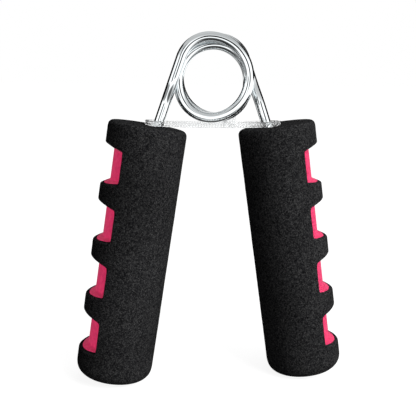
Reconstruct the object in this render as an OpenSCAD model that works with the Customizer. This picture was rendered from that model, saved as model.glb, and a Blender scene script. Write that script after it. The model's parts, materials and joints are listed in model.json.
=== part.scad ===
// Hand grip strengthener: a double-leg torsion spring of round wire joins two
// foam-covered handles. Squeezing the handles together winds the coil up.
//
// Frame: millimetres, +Z up, +X to the right handle, -Y to the front.
// Origin: on the axis of the coil (the axis the handles swing about, along Y),
// halfway through the coil's depth.
// The right half is the left half turned half a turn about Z.

/* [Spring] */
// Diameter of the spring wire
wire_d = 4.0; // [3.6:0.1:4.0]
// Radius of the middle turns, axis to wire centre
coil_r = 13.6; // [13.0:0.1:14.5]
// Spacing of the turns along the coil axis
coil_pitch = 4.09; // [4.09:0.01:4.4]
// Extra radius of the first and last turns
end_turn_grow = 1.75; // [0.8:0.05:1.9]
// How far the first and last turns sit toward their own leg
end_turn_shift = 1.85; // [0.6:0.05:2.0]
// How far the first and last turns sit above the coil axis
end_turn_rise = 0.95; // [0.4:0.05:1.4]
// Lean of each free leg from vertical, in degrees
leg_lean = 19; // [17:0.5:21]
// Distance from the coil axis to the straight part of each leg
leg_offset = 14.75; // [14.5:0.05:15.0]
// Radius of the bend inside each handle
leg_bend_r = 14; // [10:1:20]

/* [Handles] */
// Diameter of each handle over the black skin
grip_d = 31; // [29:0.5:32]
// Length of each handle along its own axis
grip_len = 102.4; // [100:0.2:106]
// Lean of each handle from vertical, in degrees
grip_lean = 8.33; // [8:0.01:9]
// Distance from the mid-plane to the centre of a handle's top face
grip_top_x = 25.4; // [25:0.1:26]
// Offset of each handle from the middle of the coil's depth
grip_stagger = 2.5; // [2:0.1:3]
// Depth of the handles' top faces below the coil axis
grip_drop = 17.6; // [17.4:0.1:19]
// Thickness of the black outer skin
skin_t = 1.4; // [1.2:0.1:1.6]
// Rounding of the handle's top edge
top_round = 2.0; // [1.8:0.1:2.4]
// Rounding of the handle's bottom edge
end_round = 4.5; // [3:0.1:4.8]

/* [Finger notches] */
// Number of finger notches on each handle
notch_count = 4; // [3:1:4]
// Distance from the top face to the middle of the first notch
notch_first = 16.35; // [16:0.05:17]
// Spacing of the notches along the handle
notch_pitch = 22.5; // [21.5:0.1:23]
// Length of a notch at the surface
notch_mouth = 16.5; // [15:0.1:17]
// How much each end of a notch closes in toward its side edges
notch_narrow = 1.6; // [0:0.1:2]
// Rounding of a notch's corners at the surface
notch_corner = 1.5; // [0.5:0.1:2]
// Length of a notch at its floor
notch_floor = 12.2; // [10:0.1:13]
// Depth of a notch from the surface
notch_depth = 3.7; // [3:0.1:4.2]
// How far a notch reaches round the handle each side, in degrees
notch_half = 60; // [50:1:70]

/* [Handle core] */
// Outside diameter of the core tube
tube_d = 20; // [19:0.5:20]
// Wall of the core tube
tube_wall = 2; // [1.6:0.1:2.2]
// Gap left between pieces that touch
joint_gap = 0.05; // [0.03:0.01:0.08]
// Length of the neck bush
bush_len = 14; // [10:1:16]
// Length of the end plug inside the tube
plug_len = 13; // [10:1:16]
// Diameter of the socket in the end plug that holds the wire's tip
socket_d = 4.1; // [4.1:0.05:4.3]

/* [Retaining tie] */
// Height of the tie strap
tie_h = 2.0; // [1.6:0.1:2.2]
// Thickness of the tie strap
tie_t = 0.9; // [0.7:0.1:1.0]
// Half width of the loop, measured inside
tie_inner = 4.65; // [4.65:0.05:4.8]
// Distance from the mid-plane to the centre of each rounded end
tie_end_x = 21.1; // [21:0.1:21.4]
// Height of the strap's lower edge above the centres of the top faces
tie_lift = 0.3; // [0.3:0.05:0.6]
// Width and height of the tie's locking head
tie_head_w = 4.6; // [4:0.1:5]
// Depth of the tie's locking head
tie_head_d = 3.4; // [3:0.1:3.8]

/* [Hidden] */
$fn = 96;

black_foam = [0.09, 0.09, 0.10];
pink_foam = [0.88, 0.17, 0.43];
core_white = [0.82, 0.82, 0.80];
clear_nylon = [0.90, 0.92, 0.92, 0.5];
chrome = [0.78, 0.79, 0.80];

grip_r = grip_d / 2;
wire_r = wire_d / 2;
tube_r = tube_d / 2;
overcut = 1;                         // how far cutters run past open faces

// ---- Spring centreline, left half: points are [x, z] ------------------------
// A place on a turn is given by its heading: 0 at the left of the coil, 90 at
// the top, growing clockwise seen from the front.
function out(heading) = [-cos(heading), sin(heading)];
function down(lean) = [-sin(lean), -cos(lean)];
function mix(from, to, share) = from + (to - from) * share;
function ease(share) = let (u = min(max(share, 0), 1)) u * u * (3 - 2 * u);

mid_heading = 450;                   // top of the middle turn
close_from = 235;                    // heading where the first turn starts to close in
close_over = 130;                    // degrees it takes to reach the middle turns' radius
end_turn_centre = [-end_turn_shift, end_turn_rise];

// The shoulder is the tighter bend from the leg to the top of the first turn.
first_turn_top = end_turn_centre + [0, coil_r + end_turn_grow];
shoulder_r = (leg_offset - out(leg_lean) * first_turn_top) / (1 - sin(leg_lean));
shoulder_centre = first_turn_top - [0, shoulder_r];

function growth(heading) = 1 - ease((heading - close_from) / close_over);
function turn_xz(heading) =
    heading < 90
        ? shoulder_centre + shoulder_r * out(heading)
        : growth(heading) * end_turn_centre
            + (coil_r + growth(heading) * end_turn_grow) * out(heading);
function turn_y(heading) = (heading - mid_heading) / 360 * coil_pitch;

// The straight leg starts at the shoulder; places on it are distances down it.
leg_top = turn_xz(leg_lean);
leg_front_y = turn_y(leg_lean);
leg_dir = down(leg_lean);
grip_top = [-grip_top_x, -grip_drop];
grip_dir = down(grip_lean);
function leg_xz(dist) = leg_top + leg_dir * dist;

// where the leg's line meets the handle's axis
meet_dist = cross(grip_top - leg_top, grip_dir) / cross(leg_dir, grip_dir);
meet_depth = (leg_xz(meet_dist) - grip_top) * grip_dir;

// the bend that brings the leg onto the handle's axis
kink = leg_lean - grip_lean;
leg_len = meet_dist - leg_bend_r * tan(kink / 2);
kink_centre = leg_xz(leg_len) + leg_bend_r * out(leg_lean);
function kink_xz(lean) = kink_centre - leg_bend_r * out(lean);

tip_depth = grip_len - 8.5;          // depth of the wire's tip in the handle

// The leg keeps clear of the coil, then steps in to the handle's own plane.
entry_dist = (leg_top[1] + grip_drop) / cos(leg_lean);  // level with the top face's centre
step_from = 0.35;                    // share of entry_dist where the step starts
function leg_y(dist) =
    mix(leg_front_y, -grip_stagger, ease((dist / entry_dist - step_from) / (1 - step_from)));

// path steps along each stretch of the wire, and sides of its section
kink_steps = 4;
inside_steps = 2;
leg_steps = 12;
turn_steps = 47;
wire_sides = 18;

function at_y(xz, y) = [xz[0], y, xz[1]];
function half_turned(point) = [-point[0], -point[1], point[2]];

// from the tip in the left handle up to just before the top of the middle turn
half_path = concat(
    [at_y(grip_top + tip_depth * grip_dir, -grip_stagger)],
    [for (k = [0 : kink_steps - 1])
        at_y(kink_xz(mix(grip_lean, leg_lean, k / kink_steps)), -grip_stagger)],
    [for (k = [0 : inside_steps - 1])
        at_y(leg_xz(mix(leg_len, entry_dist, k / inside_steps)), -grip_stagger)],
    [for (k = [0 : leg_steps - 1])
        let (dist = entry_dist * (1 - k / leg_steps))
        at_y(leg_xz(dist), leg_y(dist))],
    [for (k = [0 : turn_steps - 1])
        let (heading = mix(leg_lean, mid_heading, k / turn_steps))
        at_y(turn_xz(heading), turn_y(heading))]
);
wire_path = concat(
    half_path,
    [at_y(turn_xz(mid_heading), 0)],
    [for (k = [len(half_path) - 1 : -1 : 0]) half_turned(half_path[k])]
);

function unit(v) = v / norm(v);

// a closed tube of round section that follows a list of points
module sweep(path, radius, sides) {
    last = len(path) - 1;
    points = [for (i = [0 : last])
        let (
            ahead = unit(path[min(i + 1, last)] - path[max(i - 1, 0)]),
            across = unit(cross(ahead, [0, 1, 0])),
            upright = cross(across, ahead)
        )
        for (k = [0 : sides - 1])
            let (angle = 360 * k / sides)
            path[i] + radius * (cos(angle) * across + sin(angle) * upright)];
    walls = [for (i = [0 : last - 1]) for (k = [0 : sides - 1])
        let (this = i * sides + k, next = i * sides + (k + 1) % sides)
        each [[this, next + sides, next], [this, this + sides, next + sides]]];
    ends = [
        [for (k = [0 : sides - 1]) k],
        [for (k = [sides - 1 : -1 : 0]) last * sides + k]
    ];
    polyhedron(points = points, faces = concat(walls, ends));
}

module torsion_spring() {
    color(chrome) sweep(wire_path, wire_r, wire_sides);
}

// ---- Handles ----------------------------------------------------------------
// Local frame of a handle: origin at the centre of its top face, +Z up its
// axis, -X toward the fingers.
module on_side(right) {
    rotate([0, 0, right ? 180 : 0])
        translate([-grip_top_x, -grip_stagger, -grip_drop])
            rotate([0, grip_lean, 0])
                children();
}

// a round bar with rounded ends, its top face at z = -depth
module round_bar(radius, depth, length, top_r, foot_r) {
    translate([0, 0, -depth - length]) rotate_extrude() {
        square([radius - max(top_r, foot_r), length]);
        translate([0, foot_r]) square([radius, length - top_r - foot_r]);
        square([radius - foot_r, foot_r + 1]);
        translate([0, length - top_r - 1]) square([radius - top_r, top_r + 1]);
        translate([radius - foot_r, foot_r]) circle(foot_r);
        translate([radius - top_r, length - top_r]) circle(top_r);
    }
}

// Half the length of a notch at the surface, at an angle from its middle:
// it narrows as the angle squared, then follows the corner's rounding.
mm_per_degree = grip_r * PI / 180;
corner_angle = notch_half - notch_corner / mm_per_degree;  // where the rounding starts
function notch_end(angle) =
    let (past = (angle - corner_angle) * mm_per_degree)
    notch_mouth / 2 - notch_narrow * pow(angle / notch_half, 2)
        - (past > 0 ? notch_corner - sqrt(max(pow(notch_corner, 2) - past * past, 0)) : 0);
notch_angles = concat(
    [for (share = [0, 0.4, 0.7]) share * corner_angle],
    [for (share = [0, 0.45, 0.8, 1]) mix(corner_angle, notch_half, share)]
);
// a quarter of the notch outline: [along the handle, sideways]
notch_quarter = concat(
    [for (angle = notch_angles) [notch_end(angle), grip_r * sin(angle)]],
    [[notch_end(notch_half), grip_r]]
);

module notch_outline() {
    last = len(notch_quarter) - 1;
    polygon(concat(
        notch_quarter,
        [for (i = [last : -1 : 0]) [-notch_quarter[i][0], notch_quarter[i][1]]],
        [for (i = [1 : last]) -notch_quarter[i]],
        [for (i = [last : -1 : 1]) [notch_quarter[i][0], -notch_quarter[i][1]]]
    ));
}

// the finger notches, open on the -X side
module notches() {
    floor_r = grip_r - notch_depth;
    outer_r = grip_r + 2;
    slope = (notch_mouth - notch_floor) / 2 / notch_depth;
    floor_z = notch_floor / 2;
    outer_z = floor_z + slope * (outer_r - floor_r);
    for (k = [0 : notch_count - 1])
        translate([0, 0, -notch_first - k * notch_pitch]) intersection() {
            rotate([0, 0, 180 - notch_half])
                rotate_extrude(angle = 2 * notch_half)
                    polygon([
                        [floor_r, -floor_z], [floor_r, floor_z],
                        [outer_r, outer_z], [outer_r, -outer_z]
                    ]);
            rotate([0, -90, 0]) linear_extrude(grip_r + 3) notch_outline();
        }
}

// the leg's slanting way in, as a round hole
skin_clearance = 0.25;
bush_clearance = 0.5;
module leg_way(radius) {
    translate([0, 0, -meet_depth]) rotate([0, kink, 0])
        translate([0, 0, -overcut]) cylinder(r = radius, h = meet_depth + 12);
}

// the hollow inside the skin
cap_t = skin_t + 0.2;                // thickness of the skin's bottom
hollow_r = grip_r - skin_t;
hollow_len = grip_len - skin_t - cap_t;
hollow_top_round = top_round - skin_t;
hollow_end_round = end_round - skin_t;

module foam_skin(right) {
    color(black_foam) on_side(right) difference() {
        round_bar(grip_r, 0, grip_len, top_round, end_round);
        round_bar(hollow_r, skin_t, hollow_len, hollow_top_round, hollow_end_round);
        notches();
        leg_way(wire_r + skin_clearance);
    }
}

sleeve_top = skin_t + joint_gap;
sleeve_len = hollow_len - 2 * joint_gap;
module foam_sleeve(right) {
    color(pink_foam) on_side(right) difference() {
        round_bar(hollow_r - joint_gap, sleeve_top, sleeve_len,
                  hollow_top_round, hollow_end_round);
        translate([0, 0, -grip_len]) cylinder(r = tube_r + joint_gap, h = grip_len + overcut);
        notches();
    }
}

plug_flange = 4;                     // room for the plug's flange below the tube
tube_top = sleeve_top + joint_gap;
tube_end = grip_len - cap_t - plug_flange;
bore_r = tube_r - tube_wall;
module core_tube(right) {
    color(core_white) on_side(right) difference() {
        translate([0, 0, -tube_end]) cylinder(r = tube_r, h = tube_end - tube_top);
        translate([0, 0, -tube_end - overcut]) cylinder(r = bore_r, h = tube_end + overcut);
    }
}

module neck_bush(right) {
    color(core_white) on_side(right) difference() {
        translate([0, 0, -tube_top - bush_len]) cylinder(r = bore_r - joint_gap, h = bush_len);
        leg_way(wire_r + bush_clearance);
    }
}

plug_overlap = 1;                    // how far the plug's body runs into its flange
tip_clearance = 0.5;                 // socket left open below the wire's tip
module end_plug(right) {
    color(core_white) on_side(right) difference() {
        union() {
            translate([0, 0, -tube_end - plug_overlap])
                cylinder(r = bore_r - joint_gap, h = plug_len + plug_overlap);
            translate([0, 0, -tube_end - plug_flange + 2 * joint_gap])
                cylinder(r = tube_r, h = plug_flange - 3 * joint_gap);
        }
        translate([0, 0, -tip_depth - tip_clearance]) cylinder(d = socket_d, h = tip_depth);
    }
}

// ---- Retaining tie ----------------------------------------------------------
// A loop of clear strap round both legs that stops the handles springing wide.
tie_head_x = 7;                      // middle of the locking head
tie_head_sink = 0.3;                 // how far the head is let into the strap
tie_head_raise = 0.9;                // head's middle above the strap's middle

module tie_outline(radius) {
    for (x = [-tie_end_x, tie_end_x])
        translate([x, 0]) circle(radius);
    translate([-tie_end_x, -radius]) square([2 * tie_end_x, 2 * radius]);
}

module retaining_tie() {
    color(clear_nylon) translate([0, 0, -grip_drop + tie_lift]) {
        linear_extrude(tie_h) difference() {
            tie_outline(tie_inner + tie_t);
            tie_outline(tie_inner);
        }
        // locking head on the rear run
        translate([
            tie_head_x - tie_head_w / 2,
            tie_inner + tie_t - tie_head_sink,
            (tie_h - tie_head_w) / 2 + tie_head_raise
        ])
            cube([tie_head_w, tie_head_d, tie_head_w]);
    }
}

torsion_spring();
retaining_tie();
foam_skin(false);  // left_foam_skin
foam_sleeve(false);  // left_foam_sleeve
core_tube(false);  // left_core_tube
neck_bush(false);  // left_neck_bush
end_plug(false);  // left_end_plug
foam_skin(true);  // right_foam_skin
foam_sleeve(true);  // right_foam_sleeve
core_tube(true);  // right_core_tube
neck_bush(true);  // right_neck_bush
end_plug(true);  // right_end_plug
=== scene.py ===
import json
import math

import bmesh
import bpy
import numpy as np
from mathutils import Matrix, Vector, noise


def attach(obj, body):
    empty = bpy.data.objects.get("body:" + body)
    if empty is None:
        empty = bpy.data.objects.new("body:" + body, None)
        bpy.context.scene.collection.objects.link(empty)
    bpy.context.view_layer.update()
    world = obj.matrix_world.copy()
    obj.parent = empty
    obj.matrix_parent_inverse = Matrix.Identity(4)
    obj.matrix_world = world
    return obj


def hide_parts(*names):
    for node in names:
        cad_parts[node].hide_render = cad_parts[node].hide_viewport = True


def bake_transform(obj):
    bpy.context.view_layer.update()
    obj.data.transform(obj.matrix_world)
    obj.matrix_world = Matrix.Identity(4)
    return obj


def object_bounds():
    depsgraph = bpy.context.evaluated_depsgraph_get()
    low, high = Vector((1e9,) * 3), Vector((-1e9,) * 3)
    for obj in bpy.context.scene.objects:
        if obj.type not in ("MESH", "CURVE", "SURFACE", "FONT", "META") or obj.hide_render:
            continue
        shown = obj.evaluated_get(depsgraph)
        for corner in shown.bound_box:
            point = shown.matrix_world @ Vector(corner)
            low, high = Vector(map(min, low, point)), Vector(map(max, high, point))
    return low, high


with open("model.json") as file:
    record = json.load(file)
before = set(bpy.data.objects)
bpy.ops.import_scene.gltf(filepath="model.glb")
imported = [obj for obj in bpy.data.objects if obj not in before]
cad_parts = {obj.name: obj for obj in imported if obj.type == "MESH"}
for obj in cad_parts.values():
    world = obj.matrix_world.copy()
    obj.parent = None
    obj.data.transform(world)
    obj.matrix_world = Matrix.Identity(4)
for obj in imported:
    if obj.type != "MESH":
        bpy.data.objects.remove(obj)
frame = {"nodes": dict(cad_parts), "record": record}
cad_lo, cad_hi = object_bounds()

MM = 0.001
scene = bpy.context.scene
record = frame["record"]


# ----------------------------------------------------------------------------
# mesh helpers
# ----------------------------------------------------------------------------
def get_co(mesh):
    co = np.zeros(len(mesh.vertices) * 3)
    mesh.vertices.foreach_get("co", co)
    return co.reshape(-1, 3)


def set_co(mesh, co):
    mesh.vertices.foreach_set("co", np.asarray(co, np.float32).ravel())
    mesh.update()


def get_normals(mesh):
    normals = np.zeros(len(mesh.vertices) * 3)
    mesh.vertex_normals.foreach_get("vector", normals)
    return normals.reshape(-1, 3)


def add_object(name, mesh):
    o = bpy.data.objects.new(name, mesh)
    scene.collection.objects.link(o)
    return o


def shade_smooth(mesh):
    mesh.polygons.foreach_set("use_smooth", [True] * len(mesh.polygons))


def make_object(name, verts, faces):
    """A smooth-shaded object from points in mm."""
    mesh = bpy.data.meshes.new(name)
    mesh.from_pydata((np.asarray(verts, float) * MM).tolist(), [], faces)
    mesh.validate(verbose=False)
    mesh.update()
    bm = bmesh.new()
    bm.from_mesh(mesh)
    bmesh.ops.recalc_face_normals(bm, faces=bm.faces[:])
    bm.to_mesh(mesh)
    bm.free()
    shade_smooth(mesh)
    return add_object(name, mesh)


def subdivide(o, levels):
    """Subdivides the object and keeps the result as its mesh."""
    modifier = o.modifiers.new("subdivision", "SUBSURF")
    modifier.levels = modifier.render_levels = levels
    modifier.quality = 3
    modifier.use_limit_surface = True
    depsgraph = bpy.context.evaluated_depsgraph_get()
    depsgraph.update()
    done = bpy.data.meshes.new_from_object(
        o.evaluated_get(depsgraph), preserve_all_data_layers=False, depsgraph=depsgraph)
    old = o.data
    o.modifiers.clear()
    o.data = done
    done.name = o.name
    bpy.data.meshes.remove(old)
    return o


def sharpen(o, degrees):
    """Marks edges sharper than this as sharp, so smooth shading keeps them."""
    bm = bmesh.new()
    bm.from_mesh(o.data)
    for edge in bm.edges:
        edge.smooth = edge.calc_face_angle(0) < math.radians(degrees)
    bm.to_mesh(o.data)
    bm.free()


def ring_ids(i, count):
    """The vertex numbers of ring i, where every ring has count points."""
    return list(range(i * count, (i + 1) * count))


def bridge(first, second):
    """Quads between two closed loops of vertex numbers."""
    n = len(first)
    return [(first[k], first[(k + 1) % n], second[(k + 1) % n], second[k]) for k in range(n)]


def unit(v):
    return v / np.linalg.norm(v)


def ease(t):
    t = min(max(t, 0.0), 1.0)
    return t * t * (3 - 2 * t)


# ----------------------------------------------------------------------------
# where the handles are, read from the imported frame
# ----------------------------------------------------------------------------
mounts = {m["name"]: m for m in record["mounts"]}


class Grip:
    """One handle's own frame: origin at the middle of its top face, z up its axis,
    -x outward, toward the fingers."""

    def __init__(self, side):
        self.side = side
        end = mounts[side + "_end_face"]
        down = np.array(end["axis"], float)
        down /= np.linalg.norm(down)
        foot = np.array(end["pos_m"], float) / MM
        from_foot = get_co(frame["nodes"][side + "_foam_skin"].data) / MM - foot
        along = from_foot @ -down
        self.length = float(along.max())
        off_axis = from_foot + np.outer(along, down)
        self.radius = float(np.sqrt((off_axis ** 2).sum(1)).max())
        self.top = foot - down * self.length
        self.lean = math.atan2(abs(down[0]), -down[2])
        z = -down
        y = np.array([0, 1.0, 0]) * (1 if side == "left" else -1)
        x = np.cross(y, z)
        columns = np.column_stack([x, y, z, self.top])
        self.matrix = Matrix(columns.tolist() + [[0, 0, 0, 1]])

    def place(self, o):
        """Moves a mesh from the handle's own frame to the shared one."""
        shift_to_metres = np.array([[1, 1, 1, MM]] * 3 + [[1, 1, 1, 1]])
        o.data.transform(Matrix(np.array(self.matrix, float) * shift_to_metres))
        o.data.update()


grips = {side: Grip(side) for side in ("left", "right")}
left_grip = grips["left"]
GRIP_R, GRIP_L, GRIP_LEAN = left_grip.radius, left_grip.length, left_grip.lean
GRIP_TOP = np.array([float(left_grip.top[0]), float(left_grip.top[2])])  # x, z
GRIP_Y = float(left_grip.top[1])

# ----------------------------------------------------------------------------
# sizes
# ----------------------------------------------------------------------------
# wire
WIRE_R = 2.0
WIRE_SIDES = 48
COIL_R, PITCH = 13.6, 4.09
END_GROW = 1.75                     # how much larger the end turns' radius is
END_SHIFT, END_RISE = 1.85, 0.95    # how far the end turn's centre moves out and up
SETTLE_FROM, SETTLE_SPAN = 235, 130  # degrees over which an end turn joins the coil
MID_TURN = 450.0                    # the coil's middle, in degrees round it
COIL_POINTS = 441
LEG_LEAN = math.radians(19.0)
LEG_OFF = 14.75                     # from the coil's axis to the leg's straight line
BEND_R = 14.0                       # bend between the leg and the handle's axis
TIP_INSET = 8.5                     # from the wire's tip to the handle's bottom
# (share of the wire's radius, distance beyond the end) of the rings on a rounded tip
TIP_RINGS = [(0.92, 0.35), (0.75, 0.6), (0.4, 0.72)]

# foam
SKIN_T, CAP_T = 1.4, 1.6            # outer layer, round the side and at the bottom
TOP_ROUND, END_ROUND = 2.0, 4.5
TUBE_R = 10.0
CLEARANCE = 0.05                    # round the pink foam
HOLE_R = WIRE_R + 0.22

# finger notches
NOTCH_N, NOTCH_FIRST, NOTCH_PITCH = 4, 16.35, 22.5
MOUTH, FLOOR = 16.5, 12.2           # length along the handle, at the surface and at the floor
NOTCH_DEPTH = 3.7
NOTCH_HALF = 60                     # degrees to each side of the finger line
NARROW = 1.6                        # how far a notch's ends close in toward its side edges
CORNER = 1.5
CORNER_REACH = 2.6                  # where corner rounding fades out, in corner radii
NOTCH_MIDS = [NOTCH_FIRST + NOTCH_PITCH * k for k in range(NOTCH_N)]
WALL_SLOPE = (MOUTH - FLOOR) / 2 / NOTCH_DEPTH

# retaining tie
TIE_H, TIE_T = 2.0, 0.9             # strap height and thickness
TIE_IN, TIE_X = 4.65, 21.1          # inner radius of the end bends, and their centres' x
TIE_Z = float(GRIP_TOP[1]) + 0.3
TIE_SAG, TIE_END = 0.7, TIE_X + TIE_IN + TIE_T
TIE_PRESS = 0.07                    # how far below the strap the pressed groove lies
TIE_TEETH = 104
TOOTH_CUTS = [0.0, 0.07, 0.14, 0.21]  # depth of each row of one tooth
HEAD_W, HEAD_D, HEAD_H = 4.6, 3.4, 4.6
HEAD_X, HEAD_LIFT = 7.0, 0.9
SHARP_DEGREES = 34


# ----------------------------------------------------------------------------
# the wire
# ----------------------------------------------------------------------------
# Angles round the coil start at the left (-X) and pass over the top. Flat points are (x, z).
def outward(angle):
    return np.array([-math.cos(angle), math.sin(angle)])


def downward(angle):
    """The direction down a line that leans this far to the left."""
    return np.array([-math.sin(angle), -math.cos(angle)])


def cross(a, b):
    return a[0] * -b[1] + b[0] * a[1]


# the end turn's top, and the wider arc from there to the leg
SIN, COS = math.sin(LEG_LEAN), math.cos(LEG_LEAN)
END_CENTRE = np.array([-END_SHIFT, END_RISE])
TURN_TOP = END_CENTRE + [0, COIL_R + END_GROW]
TURN_R = (LEG_OFF - outward(LEG_LEAN) @ TURN_TOP) / (1 - SIN)
TURN_CENTRE = TURN_TOP - [0, TURN_R]
START_DEGREES = 19.0
START_Y = -(MID_TURN - START_DEGREES) / 360 * PITCH

# the leg's line meets the handle's axis, and a bend joins them there
LEG_TOP = TURN_CENTRE + TURN_R * outward(LEG_LEAN)
LEG_DIR, GRIP_DIR = downward(LEG_LEAN), downward(GRIP_LEAN)
MEET_T = cross(GRIP_TOP - LEG_TOP, GRIP_DIR) / cross(LEG_DIR, GRIP_DIR)
MEET_DEPTH = float((LEG_TOP + MEET_T * LEG_DIR - GRIP_TOP) @ GRIP_DIR)
KINK = LEG_LEAN - GRIP_LEAN
LEG_LEN = MEET_T - BEND_R * math.tan(KINK / 2)
KINK_CENTRE = LEG_TOP + LEG_LEN * LEG_DIR + BEND_R * outward(LEG_LEAN)
TIP = GRIP_TOP + (GRIP_L - TIP_INSET) * GRIP_DIR
FREE_LEN = (LEG_TOP[1] - GRIP_TOP[1]) / COS  # leg above the handle


def turn_xz(degrees):
    angle = math.radians(degrees)
    if degrees < 90:
        return TURN_CENTRE + TURN_R * outward(angle)
    share = 1 - ease((degrees - SETTLE_FROM) / SETTLE_SPAN)
    return share * END_CENTRE + (COIL_R + share * END_GROW) * outward(angle)


def turn_y(degrees):
    return START_Y + (degrees - START_DEGREES) / 360 * PITCH


def leg_y(t):
    return START_Y + (GRIP_Y - START_Y) * ease((t - 0.30 * FREE_LEN) / (0.40 * FREE_LEN))


def at_y(point, y):
    return [point[0], y, point[1]]


def leg_path():
    """From the tip inside the left handle up to the coil."""
    kink_end = KINK_CENTRE - BEND_R * outward(GRIP_LEAN)
    bend_top = LEG_TOP + LEG_DIR * LEG_LEN
    grip_entry = LEG_TOP + LEG_DIR * FREE_LEN
    points = [at_y(TIP + (kink_end - TIP) * k / 24, GRIP_Y) for k in range(24)]
    for k in range(9):
        points.append(at_y(KINK_CENTRE - BEND_R * outward(GRIP_LEAN + KINK * k / 8), GRIP_Y))
    for k in range(1, 12):
        points.append(at_y(bend_top + (grip_entry - bend_top) * k / 12, GRIP_Y))
    for k in range(49):
        t = FREE_LEN * (1 - k / 48)
        points.append(at_y(LEG_TOP + LEG_DIR * t, leg_y(t)))
    return np.array(points)


def coil_path():
    """From the left leg to the right; the second half is the first turned about Z."""
    points = []
    for degrees in np.linspace(START_DEGREES, 2 * MID_TURN - START_DEGREES, COIL_POINTS):
        if degrees <= MID_TURN:
            points.append(at_y(turn_xz(degrees), turn_y(degrees)))
        else:
            twin = 2 * MID_TURN - degrees
            x, z = turn_xz(twin)
            points.append([-x, -turn_y(twin), z])
    return np.array(points)


def round_bar(name, path, before, after, tip=False):
    """A closed round bar along path. before and after are the neighbouring points, so that
    abutting pieces share one ring and one normal. A tip is rounded at the path's start."""
    full = np.vstack([before, path, after])
    angles = np.linspace(0, 2 * math.pi, WIRE_SIDES, endpoint=False)
    rings, normals, faces = [], [], []
    for i, point in enumerate(path):
        along = unit(full[i + 2] - full[i])
        across = unit(np.cross(along, [0, 1, 0]))
        other = np.cross(across, along)
        spokes = np.cos(angles)[:, None] * across + np.sin(angles)[:, None] * other
        rings.append(point + WIRE_R * spokes)
        normals.append(spokes)
    last = len(path) - 1
    for i in range(last):
        faces += bridge(ring_ids(i, WIRE_SIDES), ring_ids(i + 1, WIRE_SIDES))
    start_ids = ring_ids(0, WIRE_SIDES)
    if tip:
        back = -unit(full[2] - full[0])
        for share, beyond in TIP_RINGS:
            new_ids = ring_ids(len(rings), WIRE_SIDES)
            rings.append(path[0] + WIRE_R * share * normals[0] + back * beyond)
            tilted = normals[0] * share + back * (1.2 - share)
            normals.append(np.array([unit(v) for v in tilted]))
            faces += [(a, d, c, b) for a, b, c, d in bridge(start_ids, new_ids)]
            start_ids = new_ids
    faces.append(tuple(start_ids[::-1]))
    faces.append(tuple(ring_ids(last, WIRE_SIDES)))
    o = make_object(name, np.vstack(rings), faces)
    o.data.normals_split_custom_set_from_vertices(np.vstack(normals).tolist())
    return o


left_leg = leg_path()
right_leg = left_leg * [-1, -1, 1.0]
coil = coil_path()

spring_left = round_bar("spring_wire_left_leg", left_leg,
                        left_leg[0] * 2 - left_leg[1], coil[1], tip=True)
spring_coil = round_bar("spring_wire_coil", coil, left_leg[-2], right_leg[-2])
spring_right = round_bar("spring_wire_right_leg", right_leg,
                         right_leg[0] * 2 - right_leg[1], coil[-2], tip=True)


# ----------------------------------------------------------------------------
# the foam handles
# ----------------------------------------------------------------------------
# Made in the handle's own frame. Angles are degrees from the finger side (-x), and
# depths are measured down from the top face.
def both_ways(angles):
    return sorted({-a for a in angles if 0 < a < 180} | set(angles))


SKIN_ANGLES = both_ways([
    0, 12, 24, 36, 46, 54.2, 58.2, NOTCH_HALF, 61.8, 65.8,
    75, 86, 98, 110, 122, 134, 146, 158, 169, 180])
SLEEVE_ANGLES = both_ways([
    0, 12, 24, 36, 46, 54.0, 57.4, 59.2, 60.8, 62.8,
    67, 76, 88, 101, 114, 127, 140, 153, 166, 180])


def round_corner(u, v, radius):
    """Turns the square corner at (radius, radius), measured from the arc's centre, into a
    round one. u and v are positive."""
    m = max(u, v)
    angle = math.pi / 4 * (v / u) if u >= v else math.pi / 2 - math.pi / 4 * (u / v)
    w = 1 - ease((m / radius - 1) / (CORNER_REACH - 1))
    return u + w * (m * math.cos(angle) - u), v + w * (m * math.sin(angle) - v)


def on_bar(degrees, depth, r, half_len, corner, close=1.0):
    """A point on a bar of radius r, with the nearest notch's corners rounded in the surface
    and its ends closing in toward its side edges."""
    mid = min(NOTCH_MIDS, key=lambda m: abs(m - depth))
    side_edge = math.radians(NOTCH_HALF) * GRIP_R
    s = math.radians(degrees) * GRIP_R
    z = depth - mid
    past_s, past_z = abs(s) - (side_edge - corner), abs(z) - (half_len - corner)
    if past_s > 0 and past_z > 0:
        past_s, past_z = round_corner(past_s, past_z, corner)
        s = math.copysign(past_s + side_edge - corner, s)
        z = math.copysign(past_z + half_len - corner, z)
    angle = s / GRIP_R
    turned = abs(math.degrees(angle))
    if turned <= NOTCH_HALF:
        round_share = (turned / NOTCH_HALF) ** 2
    else:
        round_share = 1 - ease((turned - NOTCH_HALF) / 55)
    m = abs(z)
    if m <= half_len:
        length_share = m / half_len
    else:
        length_share = 1 - ease((m - half_len) / (NOTCH_PITCH / 2 - half_len))
    z -= math.copysign(close * NARROW * round_share * length_share, z)
    return [-r * math.cos(angle), -r * math.sin(angle), -(mid + z)]


def circle(angles, r, depth):
    return [[-r * math.cos(math.radians(a)), -r * math.sin(math.radians(a)), -depth]
            for a in angles]


def top_edge(angles, r, top, edge_r, steps):
    """Rings round the rounded top edge of a bar; step 0 is on the flat, 90 on the side."""
    turns = [math.radians(step) for step in steps]
    return [circle(angles, r - edge_r + edge_r * math.sin(a), top + edge_r - edge_r * math.cos(a))
            for a in turns]


def bottom_edge(angles, r, end, edge_r, steps):
    """Rings round the rounded bottom edge of a bar; step 0 is on the side, 90 on the flat."""
    turns = [math.radians(step) for step in steps]
    return [circle(angles, r - edge_r + edge_r * math.cos(a), end - edge_r + edge_r * math.sin(a))
            for a in turns]


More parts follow.
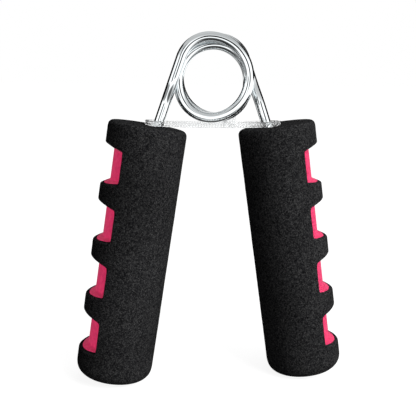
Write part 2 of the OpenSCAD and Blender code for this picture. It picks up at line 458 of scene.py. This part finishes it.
def top_disc(z, share, r):
    """A ring between the wire's leaning hole (share 0) and a circle of radius r (share 1)."""
    hole_x = (MEET_DEPTH + z) * math.tan(KINK)
    ring = []
    for degrees in SKIN_ANGLES:
        a = math.radians(degrees)
        x, y = -math.cos(a), -math.sin(a)
        ring.append([(1 - share) * (hole_x + HOLE_R * x) + share * r * x,
                     (1 - share) * HOLE_R * y + share * r * y, z])
    return ring


def skin_stations():
    """The (outer depth, inner depth) of each ring down the side, and each window's first
    and last station."""
    half_o, half_i = MOUTH / 2, MOUTH / 2 - WALL_SLOPE * SKIN_T
    # (outer, inner) distance from the notch's middle; the second entry is the window's edge
    offsets = [(half_o + 0.5, half_i + 0.5), (half_o, half_i), (half_o - 0.5, half_i - 0.5),
               (half_o - 1.8, half_i - 1.6), (3.3, 3.2), (0, 0)]
    stations = [(TOP_ROUND + 1.2, SKIN_T + 1.4), (TOP_ROUND + 3.6, SKIN_T + 3.8)]
    windows = []
    for mid in NOTCH_MIDS:
        if mid != NOTCH_MIDS[0]:
            stations.append((mid - NOTCH_PITCH / 2, mid - NOTCH_PITCH / 2))
        first = len(stations) + 1
        stations += [(mid - a, mid - b) for a, b in offsets]
        stations += [(mid + a, mid + b) for a, b in offsets[-2::-1]]
        windows.append((first, len(stations) - 2))
    stations.append((GRIP_L - END_ROUND - 1.6, GRIP_L - CAP_T - 2.6))
    return stations, windows, half_o, half_i


def skin(grip):
    """The black outer layer: one closed shell with four windows."""
    angles = SKIN_ANGLES
    count = len(angles)
    stations, windows, half_o, half_i = skin_stations()
    flat_r = GRIP_R - TOP_ROUND

    # outer surface, from the hole to the bottom
    rings = [top_disc(0, share, flat_r) for share in (0.0, 0.045, 0.16, 0.45, 0.75)]
    rings += top_edge(angles, GRIP_R, 0, TOP_ROUND, (0, 22.5, 45, 67.5, 90))
    first_o = len(rings)
    for depth, _ in stations:
        rings.append([on_bar(a, depth, GRIP_R, half_o, CORNER) for a in angles])
    rings += bottom_edge(angles, GRIP_R, GRIP_L, END_ROUND, (0, 22.5, 45, 67.5, 90))
    rings += [circle(angles, r, GRIP_L) for r in (GRIP_R - END_ROUND - 1.2, 8, 4.5, 1.5)]
    last_o = len(rings) - 1

    # inner surface, from the bottom back to the hole
    inner_r, inner_end = GRIP_R - SKIN_T, GRIP_L - CAP_T
    top_r, end_r = TOP_ROUND - SKIN_T, END_ROUND - SKIN_T
    rings += [circle(angles, r, inner_end) for r in (1.5, 4.5, 8, inner_r - end_r - 1)]
    rings += bottom_edge(angles, inner_r, inner_end, end_r, (90, 60, 30, 0))
    first_i = len(rings)
    for _, depth in stations[::-1]:
        rings.append([on_bar(a, depth, inner_r, half_i, CORNER) for a in angles])
    last_i = len(rings) - 1
    rings += top_edge(angles, inner_r, SKIN_T, top_r, (90, 45, 0))
    rings += [top_disc(-SKIN_T, share, inner_r - top_r) for share in (0.6, 0.16, 0.045, 0.0)]
    verts = [point for ring in rings for point in ring]

    # the bands between rings, left open at the windows
    open_bands = set()
    for start, stop in windows:
        for j in range(start, stop):
            open_bands |= {first_o + j, last_i - 1 - j}
    open_steps = [abs((a + b) / 2) < NOTCH_HALF for a, b in zip(angles, angles[1:])] + [False]
    faces = []
    for i in range(len(rings) - 1):
        if i == last_o:
            continue
        for k, face in enumerate(bridge(ring_ids(i, count), ring_ids(i + 1, count))):
            if not (i in open_bands and open_steps[k]):
                faces.append(face)
    # the hole's wall, then the bottom's middle, outside and inside
    faces += bridge(ring_ids(len(rings) - 1, count), ring_ids(0, count))
    faces.append(tuple(ring_ids(last_o, count)))
    faces.append(tuple(ring_ids(last_o + 1, count))[::-1])

    # the windows' walls, with two loops between the outer and inner edges
    k0, k1 = angles.index(-NOTCH_HALF), angles.index(NOTCH_HALF)
    for j0, j1 in windows:
        edge = [(j0, k) for k in range(k0, k1)] + [(j, k1) for j in range(j0, j1)]
        edge += [(j1, k) for k in range(k1, k0, -1)] + [(j, k0) for j in range(j1, j0, -1)]
        outer = [(first_o + j) * count + k for j, k in edge]
        inner = [(last_i - j) * count + k for j, k in edge]
        outer_points = np.array([verts[i] for i in outer])
        inner_points = np.array([verts[i] for i in inner])
        loops = [outer]
        for share in (0.3, 0.8):
            loops.append(list(range(len(verts), len(verts) + len(edge))))
            verts.extend((outer_points + (inner_points - outer_points) * share).tolist())
        loops.append(inner)
        for a, b in zip(loops, loops[1:]):
            faces += bridge(a, b)
    return subdivide(make_object(grip.side + "_foam_skin_soft", verts, faces), 2)


def sleeve(grip):
    """The pink foam under the skin: a closed tube with four finger hollows."""
    angles = SLEEVE_ANGLES
    count = len(angles)
    outer_r, floor_r = GRIP_R - SKIN_T - CLEARANCE, GRIP_R - NOTCH_DEPTH
    bore_r = TUBE_R + CLEARANCE
    top, end = SKIN_T + CLEARANCE, GRIP_L - CAP_T - CLEARANCE
    half_o, half_f = MOUTH / 2 - WALL_SLOPE * top, FLOOR / 2
    end_round = 2.2
    # (distance from the notch's middle, share of the hollow's depth)
    profile = [(half_o + 1.4, 0), (half_o + 0.4, 0), (half_o, 0), ((half_o + half_f) / 2, 0.5),
               (half_f, 1), (half_f - 0.6, 1), (half_f - 2, 1), (2, 1)]
    stations = []
    for mid in NOTCH_MIDS:
        stations += [(mid - offset, share) for offset, share in profile]
        stations += [(mid + offset, share) for offset, share in profile[::-1]]

    rings = [circle(angles, r, top) for r in (bore_r, TUBE_R + 0.5, outer_r - 1.0, outer_r - 0.3)]
    rings += [circle(angles, outer_r, top + drop) for drop in (0.35, 2.2)]
    for depth, share in stations:
        half_len = half_o + (half_f - half_o) * share
        ring = []
        for a in angles:
            r = outer_r - (outer_r - floor_r) * (share if abs(a) < NOTCH_HALF else 0)
            ring.append(on_bar(a, depth, r, half_len, corner=CORNER + 0.1 - 0.3 * share,
                               close=1.0 - 0.5 * share))
        rings.append(ring)
    rings += [circle(angles, outer_r, end - rise) for rise in (4.2, end_round)]
    rings += bottom_edge(angles, outer_r, end, end_round, (30, 60, 90))
    rings += [circle(angles, r, end) for r in (TUBE_R + 0.5, bore_r)]
    for depth in (end - 0.6, end - 20, end - 50, end - 80, top + 0.6):
        rings.append(circle(angles, bore_r, depth))
    faces = []
    for i in range(len(rings)):
        faces += bridge(ring_ids(i, count), ring_ids((i + 1) % len(rings), count))
    verts = [point for ring in rings for point in ring]
    return subdivide(make_object(grip.side + "_foam_sleeve_soft", verts, faces), 2)


def square_off(o, rise):
    """The foam's top face is cut a little out of square, higher on the finger side, and
    stands a little proud. Outer surface only."""
    tilt = math.radians(1.1)
    fade = 6  # mm below the top over which it dies out
    co = get_co(o.data) / MM
    r = np.hypot(co[:, 0], co[:, 1])
    w = np.clip((co[:, 2] + fade) / fade, 0, 1)
    w = w * w * (3 - 2 * w)
    inner = (co[:, 2] < -SKIN_T * 0.7) & (r < GRIP_R - SKIN_T * 0.5)
    co[:, 2] += np.where(inner, 0, (rise - co[:, 0] * math.tan(tilt)) * w)
    set_co(o.data, co * MM)


def soften(o, seed, from_r, amount):
    """Small uneven swelling of moulded foam, only beyond radius from_r."""
    co = get_co(o.data) / MM
    normals = get_normals(o.data)
    weight = np.clip((np.hypot(co[:, 0], co[:, 1]) - from_r) / 0.5, 0, 1)
    shift = Vector((seed * 13.7, seed * 5.1, seed * 3.3))
    swell = np.zeros(len(co))
    for i, point in enumerate(co):
        if weight[i] <= 0:
            continue
        v = Vector(point)
        broad, small = noise.noise(v * 0.11 + shift), noise.noise(v * 0.42 + shift * 2)
        swell[i] = amount * (0.65 * broad + 0.35 * small)
    set_co(o.data, (co + normals * (swell * weight)[:, None]) * MM)


def tie_sag(x):
    """The strap hangs a little between the handles, whose tops slope toward the middle."""
    return TIE_SAG * max(0.0, 1 - (abs(x) / TIE_END) ** 3)


def press_under_tie(o):
    """Where the strap lies on a handle's soft top face it presses a shallow groove into it.
    Works in the shared frame."""
    co = get_co(o.data) / MM
    normals = get_normals(o.data)
    out_x = np.abs(co[:, 0])
    to_axis = np.hypot(out_x - np.minimum(out_x, TIE_X), co[:, 1])
    off = np.abs(to_axis - (TIE_IN + TIE_T / 2))
    sag = np.array([tie_sag(x) for x in co[:, 0]])
    # flat under the strap, with steep banks of slope 2.5 beside it
    ceiling = TIE_Z - sag - TIE_PRESS + np.maximum(0.0, off - TIE_T / 2 - 0.1) * 2.5
    top = (normals[:, 2] > 0.2) & (co[:, 2] > -21)
    co[:, 2] = np.where(top, np.minimum(co[:, 2], ceiling), co[:, 2])
    set_co(o.data, co * MM)


TOP_RISE = {"left": 0.35, "right": 0.60}
SWELL_SEED = {"left": 1, "right": 2}
foam = {}
for side, grip in grips.items():
    black = skin(grip)
    square_off(black, TOP_RISE[side])
    soften(black, SWELL_SEED[side], from_r=GRIP_R - 0.6, amount=0.09)
    pink = sleeve(grip)
    grip.place(black)
    grip.place(pink)
    press_under_tie(black)
    foam[side] = (black, pink)


# ----------------------------------------------------------------------------
# the clear retaining tie
# ----------------------------------------------------------------------------
def tie_path(s):
    """The (x, y) point and outward normal a distance s round the loop's inner face. It runs
    along the front, round the right end, and back the same way turned half round."""
    straight = 2 * TIE_X
    half = straight + math.pi * TIE_IN
    turned = 1
    if s >= half:
        s, turned = s - half, -1
    if s < straight:
        point, normal = np.array([-TIE_X + s, -TIE_IN]), np.array([0, -1.0])
    else:
        a = (s - straight) / TIE_IN
        normal = np.array([math.sin(a), -math.cos(a)])
        point = np.array([TIE_X, 0]) + TIE_IN * normal
    return turned * point, turned * normal


def tie_section(cut):
    """(distance outward, height) round the strap's section, with its outer face cut in."""
    t, h = TIE_T, TIE_H
    return [
        (0, 0.22), (0, h - 0.22), (0.06, h - 0.06), (0.22, h),
        (t - 0.22, h), (t - 0.06, h - 0.06), (t, h - 0.2), (t, h - 0.42),
        (t - cut, h - 0.5), (t - cut, 0.5), (t, 0.42), (t, 0.2),
        (t - 0.06, 0.06), (t - 0.22, 0), (0.22, 0), (0.06, 0.06)]


def tie_strap():
    """A toothed strap bent into a long loop."""
    total = 4 * TIE_X + 2 * math.pi * TIE_IN
    rows = TIE_TEETH * len(TOOTH_CUTS)
    verts, faces = [], []
    for i in range(rows):
        s = total * i / rows
        point, normal = tie_path(s)
        section = tie_section(TOOTH_CUTS[i % len(TOOTH_CUTS)])
        lift = max(0.05 * math.sin(s * 0.21), 0) * 0.5
        for out, height in section:
            x, y = point + normal * out
            verts.append([x, y, TIE_Z + height - tie_sag(x) + lift])
    for i in range(rows):
        faces += bridge(ring_ids(i, len(section)), ring_ids((i + 1) % rows, len(section)))
    return make_object("retaining_tie_strap", verts, faces)


def tie_head():
    """The locking head on the rear run: a rounded block with the strap's slot sunk in both
    ends and a pawl window in the rear face."""
    # (direction the face looks, rim left round the recess, recess move)
    recesses = [((1, 0, 0), 0.75, -1.1), ((-1, 0, 0), 0.75, -1.1), ((0, 1, 0), 1.0, -0.9)]
    bm = bmesh.new()
    bmesh.ops.create_cube(bm, size=1.0)
    bmesh.ops.scale(bm, vec=(HEAD_W, HEAD_D, HEAD_H), verts=bm.verts[:])
    for direction, rim, move in recesses:
        way = Vector(direction)
        bm.faces.ensure_lookup_table()
        face = max(bm.faces, key=lambda f: (f.normal.normalized() @ way) * f.calc_area()
                   if f.normal @ way > 0.9 else -1)
        bmesh.ops.inset_region(bm, faces=[face], thickness=rim, use_even_offset=True)
        sunk = bmesh.ops.extrude_discrete_faces(bm, faces=[face])["faces"][0]
        bmesh.ops.translate(bm, vec=way * move, verts=sunk.verts[:])
    edges = [e for e in bm.edges if e.calc_face_angle(0) > 0.5]
    bmesh.ops.bevel(bm, geom=edges, offset=0.22, offset_type="OFFSET", segments=3,
                    profile=0.6, affect="EDGES", clamp_overlap=True)
    bmesh.ops.recalc_face_normals(bm, faces=bm.faces[:])
    centre = Vector((HEAD_X, TIE_IN + TIE_T + HEAD_D / 2,
                     TIE_Z + TIE_H / 2 + HEAD_LIFT - tie_sag(HEAD_X)))
    bmesh.ops.translate(bm, vec=centre, verts=bm.verts[:])
    bmesh.ops.scale(bm, vec=(MM, MM, MM), verts=bm.verts[:])
    mesh = bpy.data.meshes.new("retaining_tie_head")
    bm.to_mesh(mesh)
    bm.free()
    shade_smooth(mesh)
    return add_object("retaining_tie_head", mesh)


strap, head = tie_strap(), tie_head()
sharpen(strap, SHARP_DEGREES)
sharpen(head, SHARP_DEGREES)


# ----------------------------------------------------------------------------
# shader node helpers
# ----------------------------------------------------------------------------
def rgba(c):
    return (c, c, c, 1) if isinstance(c, (int, float)) else (*c, 1)


class Nodes:
    """Builds nodes in a tree. Any input takes a value or another node's output."""

    def __init__(self, tree):
        self.tree = tree

    def put(self, socket, value):
        if isinstance(value, bpy.types.NodeSocket):
            self.tree.links.new(value, socket)
        else:
            socket.default_value = rgba(value) if socket.type == "RGBA" else value

    def add(self, kind, inputs={}, **properties):
        node = self.tree.nodes.new(kind)
        for name, value in properties.items():
            setattr(node, name, value)
        for name, value in inputs.items():
            self.put(node.inputs[name], value)
        return node

    def math(self, operation, *values):
        return self.add("ShaderNodeMath", dict(enumerate(values)), operation=operation).outputs[0]

    def times(self, a, b):
        return self.math("MULTIPLY", a, b)

    def plus(self, a, b):
        return self.math("ADD", a, b)

    def ramp(self, fac, stops):
        """stops are (position, grey or colour)."""
        node = self.add("ShaderNodeValToRGB", {"Fac": fac})
        elements = node.color_ramp.elements
        while len(elements) > 1:
            elements.remove(elements[-1])
        elements[0].position, elements[0].color = stops[0][0], rgba(stops[0][1])
        for position, colour in stops[1:]:
            elements.new(position).color = rgba(colour)
        return node.outputs["Color"]

    def map_range(self, value, low, high, **properties):
        inputs = {"Value": value, "From Min": low, "From Max": high}
        return self.add("ShaderNodeMapRange", inputs, **properties).outputs[0]


class Material(Nodes):
    def __init__(self, name):
        self.material = bpy.data.materials.new(name)
        self.material.use_nodes = True
        super().__init__(self.material.node_tree)
        self.bsdf = self.tree.nodes["Principled BSDF"]
        self.place = self.add("ShaderNodeTexCoord").outputs["Object"]

    def noise(self, scale, detail, rough, distortion=0.0, place=None):
        return self.add("ShaderNodeTexNoise", {
            "Scale": scale, "Detail": detail, "Roughness": rough, "Distortion": distortion,
            "Vector": place or self.place}).outputs["Fac"]

    def cells(self, scale):
        inputs = {"Scale": scale, "Vector": self.place}
        return self.add("ShaderNodeTexVoronoi", inputs).outputs["Distance"]

    def mix(self, fac, a, b, blend="MIX"):
        # inputs 6 and 7 and output 2 are the colour ones
        return self.add("ShaderNodeMix", {0: fac, 6: a, 7: b},
                        data_type="RGBA", blend_type=blend).outputs[2]

    def bump(self, height, strength, distance, under=None):
        inputs = {"Strength": strength, "Distance": distance, "Height": height}
        if under is not None:
            inputs["Normal"] = under
        return self.add("ShaderNodeBump", inputs).outputs["Normal"]

    def set(self, **inputs):
        for name, value in inputs.items():
            self.put(self.bsdf.inputs[name.replace("_", " ")], value)
        return self.material


# ----------------------------------------------------------------------------
# materials
# ----------------------------------------------------------------------------
def chrome():
    m = Material("spring_chrome")
    broad = m.noise(scale=90, detail=3, rough=0.5)
    stretched = m.add("ShaderNodeMapping", {"Vector": m.place, "Scale": (1.0, 1.0, 0.18)})
    scratch = m.noise(scale=2600, detail=2, rough=0.6, place=stretched.outputs["Vector"])
    pits = m.ramp(m.cells(scale=420), [(0.0, 1.0), (0.035, 0.0)])
    tone = m.ramp(broad, [(0.3, 0.0), (0.7, 1.0)])
    colour = m.mix(tone, (0.785, 0.825, 0.84), (0.855, 0.885, 0.895))
    colour = m.mix(m.times(pits, 0.35), colour, (0.30, 0.30, 0.31))
    rough = m.plus(m.times(broad, 0.04), m.times(scratch, 0.03))
    rough = m.plus(rough, m.times(pits, 0.2))
    normal = m.bump(scratch, strength=0.035, distance=0.00002)
    normal = m.bump(broad, strength=0.06, distance=0.0002, under=normal)
    return m.set(Base_Color=colour, Metallic=1.0, Roughness=rough, Normal=normal)


def black_foam():
    m = Material("black_foam")
    fine = m.noise(scale=2600, detail=3, rough=0.65)
    grain = m.noise(scale=1150, detail=2, rough=0.6, distortion=0.4)
    cells = m.cells(scale=1700)
    broad = m.noise(scale=45, detail=2, rough=0.5)
    # grain, pale specks and broad tone
    speck = m.ramp(fine, [(0.50, 0.0), (0.66, 1.0)])
    base = m.ramp(grain, [(0.30, (0.0030, 0.0030, 0.0036)), (0.50, (0.0120, 0.0122, 0.0135)),
                          (0.70, (0.036, 0.036, 0.037))])
    colour = m.mix(m.times(speck, 0.75), base, (0.095, 0.094, 0.094))
    tone = m.ramp(broad, [(0.3, 0.82), (0.7, 1.12)])
    colour = m.mix(1.0, colour, tone, blend="MULTIPLY")
    # patchy wear on the convex edges
    pointiness = m.add("ShaderNodeNewGeometry").outputs["Pointiness"]
    patches = m.ramp(m.noise(scale=260, detail=3, rough=0.6), [(0.42, 0.0), (0.68, 0.6)])
    worn = m.times(m.ramp(pointiness, [(0.52, 0.0), (0.60, 1.0)]), patches)
    colour = m.mix(m.times(worn, 0.35), colour, (0.055, 0.055, 0.056))
    pores = m.ramp(cells, [(0.0, 0.0), (0.42, 1.0)])
    height = m.plus(m.times(pores, 0.55), m.times(grain, 0.8))
    normal = m.bump(height, strength=0.6, distance=0.00018)
    normal = m.bump(fine, strength=0.4, distance=0.0001, under=normal)
    rough = m.plus(m.times(fine, 0.12), 0.80)
    return m.set(Base_Color=colour, Roughness=rough, Normal=normal, Specular_IOR_Level=0.0)


def pink_foam():
    m = Material("pink_foam")
    fine = m.noise(scale=1700, detail=3, rough=0.6)
    grain = m.noise(scale=700, detail=2, rough=0.55, distortion=0.3)
    cells = m.cells(scale=1500)
    broad = m.noise(scale=110, detail=3, rough=0.55)
    colour = m.ramp(grain, [(0.25, (0.47, 0.018, 0.083)), (0.5, (0.565, 0.0265, 0.104)),
                            (0.8, (0.65, 0.042, 0.130))])
    tone = m.ramp(broad, [(0.3, 0.88), (0.7, 1.08)])
    colour = m.mix(1.0, colour, tone, blend="MULTIPLY")
    pores = m.ramp(cells, [(0.0, 0.0), (0.4, 1.0)])
    # darker pink mixed into the pore pits is painted shade in these small recesses
    colour = m.mix(m.ramp(pores, [(0.0, 0.22), (0.5, 0.0)]), colour, (0.36, 0.010, 0.070))
    height = m.plus(m.times(pores, 0.5), grain)
    normal = m.bump(height, strength=0.45, distance=0.0002)
    normal = m.bump(fine, strength=0.3, distance=0.0001, under=normal)
    rough = m.plus(m.times(fine, 0.15), 0.74)
    return m.set(
        Base_Color=colour, Roughness=rough, Normal=normal, Specular_IOR_Level=0.25,
        Sheen_Weight=0.12, Sheen_Roughness=0.5, Sheen_Tint=(1.0, 0.6, 0.75),
        Subsurface_Weight=0.08, Subsurface_Radius=(0.0012, 0.0004, 0.0006),
        Subsurface_Scale=1.0)


def core_plastic():
    m = Material("core_plastic")
    broad = m.noise(scale=120, detail=3, rough=0.5)
    fine = m.noise(scale=1600, detail=2, rough=0.6)
    flow = m.noise(scale=300, detail=2, rough=0.4, distortion=1.5)
    tone = m.ramp(broad, [(0.3, 0.0), (0.7, 1.0)])
    colour = m.mix(tone, (0.60, 0.60, 0.58), (0.70, 0.70, 0.68))
    streaks = m.times(m.ramp(flow, [(0.45, 0.0), (0.6, 1.0)]), 0.15)
    colour = m.mix(streaks, colour, (0.50, 0.49, 0.46))
    rough = m.plus(m.times(broad, 0.2), 0.38)
    normal = m.bump(fine, strength=0.2, distance=0.00008)
    return m.set(Base_Color=colour, Roughness=rough, Normal=normal)


def clear_nylon():
    m = Material("clear_nylon")
    cloud = m.noise(scale=380, detail=3, rough=0.6)
    fine = m.noise(scale=1900, detail=2, rough=0.6)
    tone = m.ramp(cloud, [(0.35, 0.0), (0.7, 1.0)])
    colour = m.mix(tone, (0.995, 0.998, 0.998), (0.965, 0.975, 0.98))
    rough = m.plus(m.times(cloud, 0.2), 0.08)
    normal = m.bump(fine, strength=0.12, distance=0.00005)
    return m.set(
        Base_Color=colour, Roughness=rough, Normal=normal, IOR=1.22,
        Transmission_Weight=0.90, Specular_IOR_Level=0.35,
        Subsurface_Weight=0.15, Subsurface_Radius=(0.001, 0.001, 0.001), Subsurface_Scale=1.0)


materials = {
    "spring_wire": chrome(),
    "black_foam": black_foam(),
    "pink_foam": pink_foam(),
    "core_plastic": core_plastic(),
    "clear_nylon": clear_nylon(),
}


def paint(o, slot_name):
    o.data.materials.clear()
    o.data.materials.append(materials[slot_name])


for o in (spring_left, spring_coil, spring_right):
    paint(o, "spring_wire")
for black, pink in foam.values():
    paint(black, "black_foam")
    paint(pink, "pink_foam")
paint(strap, "clear_nylon")
paint(head, "clear_nylon")
cad_slots = {p["node"]: p["material_slot"] for p in record["subparts"]}
for name, o in frame["nodes"].items():
    for material_slot in o.material_slots:
        material_slot.material = materials[cad_slots[name]]

# ----------------------------------------------------------------------------
# which body each piece follows
# ----------------------------------------------------------------------------
for side, (black, pink) in foam.items():
    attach(black, side + "_arm")
    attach(pink, side + "_arm")
    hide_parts(side + "_foam_skin")
    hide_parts(side + "_foam_sleeve")
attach(spring_left, "left_arm")
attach(spring_right, "right_arm")
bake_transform(spring_coil)
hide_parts("torsion_spring")
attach(strap, "left_arm")
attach(head, "left_arm")
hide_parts("retaining_tie")

# ----------------------------------------------------------------------------
# floor (metres)
# ----------------------------------------------------------------------------
FLOOR_GLOW = 0.90  # seen by the camera, directly or through the clear tie
FLOOR_HALF = 30.0
FLOOR_GAP = 0.0001


def make_floor():
    half, z = FLOOR_HALF, cad_lo.z - FLOOR_GAP
    mesh = bpy.data.meshes.new("floor")
    corners = [(-half, -half, z), (half, -half, z), (half, half, z), (-half, half, z)]
    mesh.from_pydata(corners, [], [(0, 1, 2, 3)])
    floor = add_object("floor", mesh)
    m = Material("pale_floor")
    colour = m.mix(m.noise(scale=6, detail=2, rough=0.5), (0.29, 0.29, 0.29), (0.32, 0.32, 0.32))
    rays = m.add("ShaderNodeLightPath").outputs
    seen = m.math("MAXIMUM", rays["Is Camera Ray"], rays["Is Transmission Ray"])
    mesh.materials.append(m.set(
        Base_Color=colour, Roughness=0.9, Specular_IOR_Level=0.0,
        Emission_Strength=m.times(seen, FLOOR_GLOW), Emission_Color=(1, 1, 1)))
    floor.visible_glossy = False


make_floor()

# ----------------------------------------------------------------------------
# world
# ----------------------------------------------------------------------------
# Azimuth is in degrees round the object, 0 toward the front and + to the right;
# elevation is in degrees above the horizon.
SOFT_STRENGTH, ROOM_STRENGTH = 0.8, 1.1
# (elevation from -90 to 90 as 0 to 1, brightness) of the room the chrome reflects
ROOM = [
    (0.0, 0.14), (0.155, 0.05), (0.22, 0.16), (0.29, 0.75), (0.33, 1.15), (0.456, 1.30),
    (0.60, 1.20), (0.65, 0.80), (0.70, 0.58), (0.833, 0.52), (1.0, 0.64)]
# dark flags: (azimuth from, to, elevation from, to, edge softness, brightness left)
FLAGS = [
    (6, 29, -8, 20, 2.5, 0.0),
    (-38, -18, -6, 34, 2.0, 0.04),
    (84, 160, -3, 44, 3, 0.0),
    (-162, -86, -3, 44, 3, 0.0),
    (-176, -44, -36, -6, 4, 0.20),
    (-98, -62, -6, 3, 3, 0.20),
    (-45, 34, -62, -29, 4, 0.16),
    (150, 186, -12, 8, 5, 0.12),
    (-186, -150, -12, 8, 5, 0.12),
]
# (azimuth from -180 to 180 as 0 to 1, brightness) of the soft light on everything else
SOFT_LIGHT = [
    (0.0, 0.30), (0.12, 0.08), (0.30, 0.05), (0.42, 0.14), (0.50, 0.42),
    (0.62, 1.05), (0.75, 1.30), (0.88, 0.9), (1.0, 0.30)]


def between(w, value, low, high, soft):
    """1 between low and high, falling smoothly to 0 over soft on each side."""
    rise = w.map_range(value, low - soft, low + soft, interpolation_type="SMOOTHSTEP")
    fall = w.map_range(value, high - soft, high + soft, interpolation_type="SMOOTHSTEP")
    return w.times(rise, w.math("SUBTRACT", 1.0, fall))


def make_world():
    world = bpy.data.worlds.new("studio")
    scene.world = world
    world.use_nodes = True
    world.node_tree.nodes.clear()
    w = Nodes(world.node_tree)
    direction = w.add("ShaderNodeTexCoord").outputs["Generated"]
    x, y, z = w.add("ShaderNodeSeparateXYZ", {0: direction}).outputs
    azimuth = w.times(w.math("ARCTAN2", x, w.times(y, -1.0)), 180 / math.pi)
    elevation = w.times(w.math("ARCSINE", z), 180 / math.pi)

    room = w.ramp(w.map_range(elevation, -90, 90), ROOM)
    for az_from, az_to, el_from, el_to, soft, left in FLAGS:
        flag = w.times(between(w, azimuth, az_from, az_to, soft),
                       between(w, elevation, el_from, el_to, soft))
        room = w.times(room, w.math("SUBTRACT", 1.0, w.times(flag, 1.0 - left)))
    soft_light = w.ramp(w.map_range(azimuth, -180, 180), SOFT_LIGHT)

    def background(colour, strength):
        return w.add("ShaderNodeBackground", {0: colour, 1: strength}).outputs[0]

    def mix_shaders(fac, a, b):
        return w.add("ShaderNodeMixShader", {0: fac, 1: a, 2: b}).outputs[0]

    rays = w.add("ShaderNodeLightPath").outputs
    seen = w.math("MAXIMUM", rays["Is Camera Ray"], rays["Is Transmission Ray"])
    lit = mix_shaders(rays["Is Glossy Ray"], background(soft_light, SOFT_STRENGTH),
                      background(room, ROOM_STRENGTH))
    surface = mix_shaders(seen, lit, background(1.0, 1.0))
    w.add("ShaderNodeOutputWorld", {"Surface": surface})


make_world()

# ----------------------------------------------------------------------------
# lights (metres and watts)
# ----------------------------------------------------------------------------
centre = (cad_lo + cad_hi) / 2


def area(name, place, size, power):
    """A rectangular light aimed at the product, unseen by the camera and reflections."""
    light = bpy.data.lights.new(name, "AREA")
    light.shape = "RECTANGLE"
    light.size, light.size_y = size
    light.energy = power
    o = add_object(name, light)
    o.location = place
    o.rotation_euler = (centre - Vector(place)).to_track_quat("-Z", "Y").to_euler()
    o.visible_glossy = False
    o.visible_camera = False
    return o


area("key_softbox", place=(0.62, -0.62, 0.45), size=(0.55, 0.7), power=8.2)
area("top_softbox", place=(0.05, 0.05, 0.9), size=(0.8, 0.8), power=0.3)
fill = area("left_fill", place=(-0.70, -0.50, 0.15), size=(0.5, 0.7), power=7.6)
pink_only = bpy.data.collections.new("lit_by_left_fill")
for _, pink in foam.values():
    pink_only.objects.link(pink)
fill.light_linking.receiver_collection = pink_only

# ----------------------------------------------------------------------------
# camera
# ----------------------------------------------------------------------------
CAMERA_PLACE = (-17.439, -268.971, -0.677)
YAW, PITCH_DOWN, ROLL = 0.0586, 0.1825, 0.0104  # radians
SENSOR_WIDTH, FOCAL_LENGTH = 36.0, 59.008846154


def make_camera():
    camera_data = bpy.data.cameras.new("camera")
    camera = add_object("camera", camera_data)
    forward = Vector((math.sin(YAW) * math.cos(PITCH_DOWN),
                      math.cos(YAW) * math.cos(PITCH_DOWN), -math.sin(PITCH_DOWN)))
    right = Vector((math.cos(YAW), -math.sin(YAW), 0))
    up = right.cross(forward)
    rolled_right = math.cos(ROLL) * right + math.sin(ROLL) * up
    rolled_up = -math.sin(ROLL) * right + math.cos(ROLL) * up
    turn = Matrix((rolled_right, rolled_up, -forward)).transposed().to_4x4()
    camera.matrix_world = Matrix.Translation(Vector(CAMERA_PLACE) * MM) @ turn
    camera_data.sensor_fit = "HORIZONTAL"
    camera_data.sensor_width = SENSOR_WIDTH
    camera_data.lens = FOCAL_LENGTH
    camera_data.clip_start, camera_data.clip_end = 0.01, 100
    scene.camera = camera


make_camera()

scene.view_settings.view_transform = "Standard"
scene.view_settings.look = "None"
scene.view_settings.exposure = 0.0
scene.view_settings.gamma = 1.0
